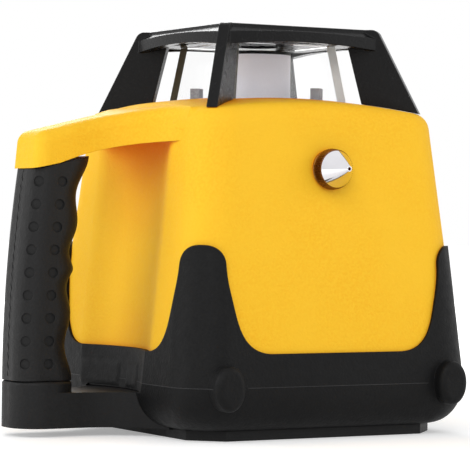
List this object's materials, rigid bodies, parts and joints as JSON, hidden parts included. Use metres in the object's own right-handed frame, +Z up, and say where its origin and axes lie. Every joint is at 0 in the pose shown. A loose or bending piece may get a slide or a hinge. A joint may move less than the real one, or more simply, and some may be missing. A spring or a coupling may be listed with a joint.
{
  "type": "rotary laser level",
  "caption": "Self-levelling rotary laser level: tapered yellow shell with side handle, rubber boot, glass lantern with spinning head under a four-fin guard, tripod thread below.",
  "frame": {"origin": "centre of the tripod thread's mouth, on the underside of the base plate", "axes": "+Z up along the spin axis, -X towards the handle, -Y towards the levelling foot, +Y towards the keypad, +X towards the battery door"},
  "size_m": [0.2028, 0.1575, 0.1855],
  "materials": {
    "yellow_shell": "satin moulded",
    "black_plastic": "fine grain",
    "black_rubber": "soft matte",
    "clear_glass": "polished",
    "polished_steel": "polished",
    "plain_steel": "machined",
    "brass": "machined",
    "cast_aluminium": "cast",
    "grey_plastic": "smooth",
    "sensor_glass": "polished",
    "circuit_board": "coated",
    "key_rubber": "soft matte"
  },
  "bodies": {
    "case": {"upper_housing": "yellow_shell", "housing_gasket": "black_rubber", "lower_chassis": "black_plastic", "rubber_boot": "black_rubber", "base_plate": "black_plastic", "base_screws": "plain_steel", "tripod_insert": "brass", "handle_grip": "black_rubber", "handle_core": "plain_steel", "handle_bolt": "plain_steel", "guard_cage": "black_plastic", "top_window": "clear_glass", "window_front": "clear_glass", "window_right": "clear_glass", "window_rear": "clear_glass", "window_left": "clear_glass", "window_seat": "black_plastic", "lantern_posts": "grey_plastic", "foot_bush": "brass", "gimbal_frame": "cast_aluminium", "gimbal_pins": "plain_steel", "tilt_motor_x": "plain_steel", "tilt_motor_y": "plain_steel", "keypad_panel": "black_plastic", "keypad_board": "circuit_board", "battery_holder": "black_plastic", "battery_cells": "plain_steel", "charge_socket": "grey_plastic", "main_board": "circuit_board"},
    "ring": {"gimbal_ring": "cast_aluminium"},
    "barrel": {"laser_barrel": "cast_aluminium", "barrel_pins": "plain_steel", "laser_module": "brass", "collimator_lens": "clear_glass", "shaft_bearings": "plain_steel", "level_sensors": "sensor_glass", "spin_motor": "plain_steel", "drive_belt": "black_rubber"},
    "head": {"head_shaft": "plain_steel", "head_pulley": "cast_aluminium", "head_housing": "grey_plastic", "head_cap": "black_plastic", "pentaprism": "clear_glass", "aperture_glass": "clear_glass"},
    "motor_rotor": {"motor_pulley": "cast_aluminium"},
    "screw_x": {"tilt_screw_x": "plain_steel"},
    "screw_y": {"tilt_screw_y": "plain_steel"},
    "nut_x": {"tilt_nut_x": "grey_plastic"},
    "nut_y": {"tilt_nut_y": "grey_plastic"},
    "foot_slider": {"foot_seal": "black_rubber"},
    "foot": {"levelling_foot": "polished_steel"},
    "door": {"battery_door": "black_plastic"},
    "cap": {"charge_cap": "black_rubber"},
    "key_power": {"key_power": "key_rubber"},
    "key_mode": {"key_mode": "key_rubber"},
    "key_speed": {"key_speed": "key_rubber"},
    "key_left": {"key_left": "key_rubber"},
    "key_scan": {"key_scan": "key_rubber"},
    "key_right": {"key_right": "key_rubber"}
  },
  "joints": [
    {"name": "gimbal_tilt", "type": "hinge", "parent": "case", "child": "ring", "pos_m": [0, 0, 0.1], "axis": [1, 0, 0], "range_deg": [-5, 5]},
    {"name": "barrel_tilt", "type": "hinge", "parent": "ring", "child": "barrel", "pos_m": [0, 0, 0.1], "axis": [0, 1, 0], "range_deg": [-5, 5]},
    {"name": "head_spin", "type": "hinge", "parent": "barrel", "child": "head", "pos_m": [0, 0, 0.147], "axis": [0, 0, 1], "continuous": true},
    {"name": "motor_spin", "type": "hinge", "parent": "barrel", "child": "motor_rotor", "pos_m": [0, 0.036, 0.129], "axis": [0, 0, 1], "continuous": true},
    {"name": "nut_x_travel", "type": "slide", "parent": "case", "child": "nut_x", "axis": [1, 0, 0], "range_m": [-0.0045, 0.0045]},
    {"name": "nut_y_travel", "type": "slide", "parent": "case", "child": "nut_y", "axis": [0, 1, 0], "range_m": [-0.005, 0.005]},
    {"name": "screw_x_turn", "type": "hinge", "parent": "case", "child": "screw_x", "pos_m": [0, 0.022, 0.054], "axis": [1, 0, 0], "range_deg": [-740, 740]},
    {"name": "screw_y_turn", "type": "hinge", "parent": "case", "child": "screw_y", "pos_m": [-0.022, 0, 0.048], "axis": [0, 1, 0], "range_deg": [-830, 830]},
    {"name": "foot_advance", "type": "slide", "parent": "case", "child": "foot_slider", "axis": [0, -1, 0], "range_m": [0, 0.004]},
    {"name": "foot_turn", "type": "hinge", "parent": "foot_slider", "child": "foot", "pos_m": [0, -0.06625, 0.12], "axis": [0, -1, 0], "range_deg": [-18, 1458]},
    {"name": "door_hinge", "type": "hinge", "parent": "case", "child": "door", "pos_m": [0.07161, 0, 0.0449], "axis": [0, 1, 0], "range_deg": [0, 95]},
    {"name": "cap_hinge", "type": "hinge", "parent": "case", "child": "cap", "pos_m": [-0.03, 0.07095, 0.05134], "axis": [-1, 0, 0], "range_deg": [0, 95]},
    {"name": "press_power", "type": "slide", "parent": "case", "child": "key_power", "axis": [0, -0.9948, -0.1015], "range_m": [0, 0.001], "stiffness_N_per_m": 500},
    {"name": "press_mode", "type": "slide", "parent": "case", "child": "key_mode", "axis": [0, -0.9948, -0.1015], "range_m": [0, 0.001], "stiffness_N_per_m": 500},
    {"name": "press_speed", "type": "slide", "parent": "case", "child": "key_speed", "axis": [0, -0.9948, -0.1015], "range_m": [0, 0.001], "stiffness_N_per_m": 500},
    {"name": "press_left", "type": "slide", "parent": "case", "child": "key_left", "axis": [0, -0.9948, -0.1015], "range_m": [0, 0.001], "stiffness_N_per_m": 500},
    {"name": "press_scan", "type": "slide", "parent": "case", "child": "key_scan", "axis": [0, -0.9948, -0.1015], "range_m": [0, 0.001], "stiffness_N_per_m": 500},
    {"name": "press_right", "type": "slide", "parent": "case", "child": "key_right", "axis": [0, -0.9948, -0.1015], "range_m": [0, 0.001], "stiffness_N_per_m": 500}
  ],
  "couplings": [
    {"joint": "motor_spin", "follows": "head_spin", "ratio": 2.5},
    {"joint": "nut_x_travel", "follows": "barrel_tilt", "m_per_rad": -0.046},
    {"joint": "nut_y_travel", "follows": "gimbal_tilt", "m_per_rad": 0.052},
    {"joint": "screw_x_turn", "follows": "barrel_tilt", "ratio": 144.51},
    {"joint": "screw_y_turn", "follows": "gimbal_tilt", "ratio": 163.36},
    {"joint": "foot_turn", "follows": "foot_advance", "rad_per_m": 6283.2}
  ]
}
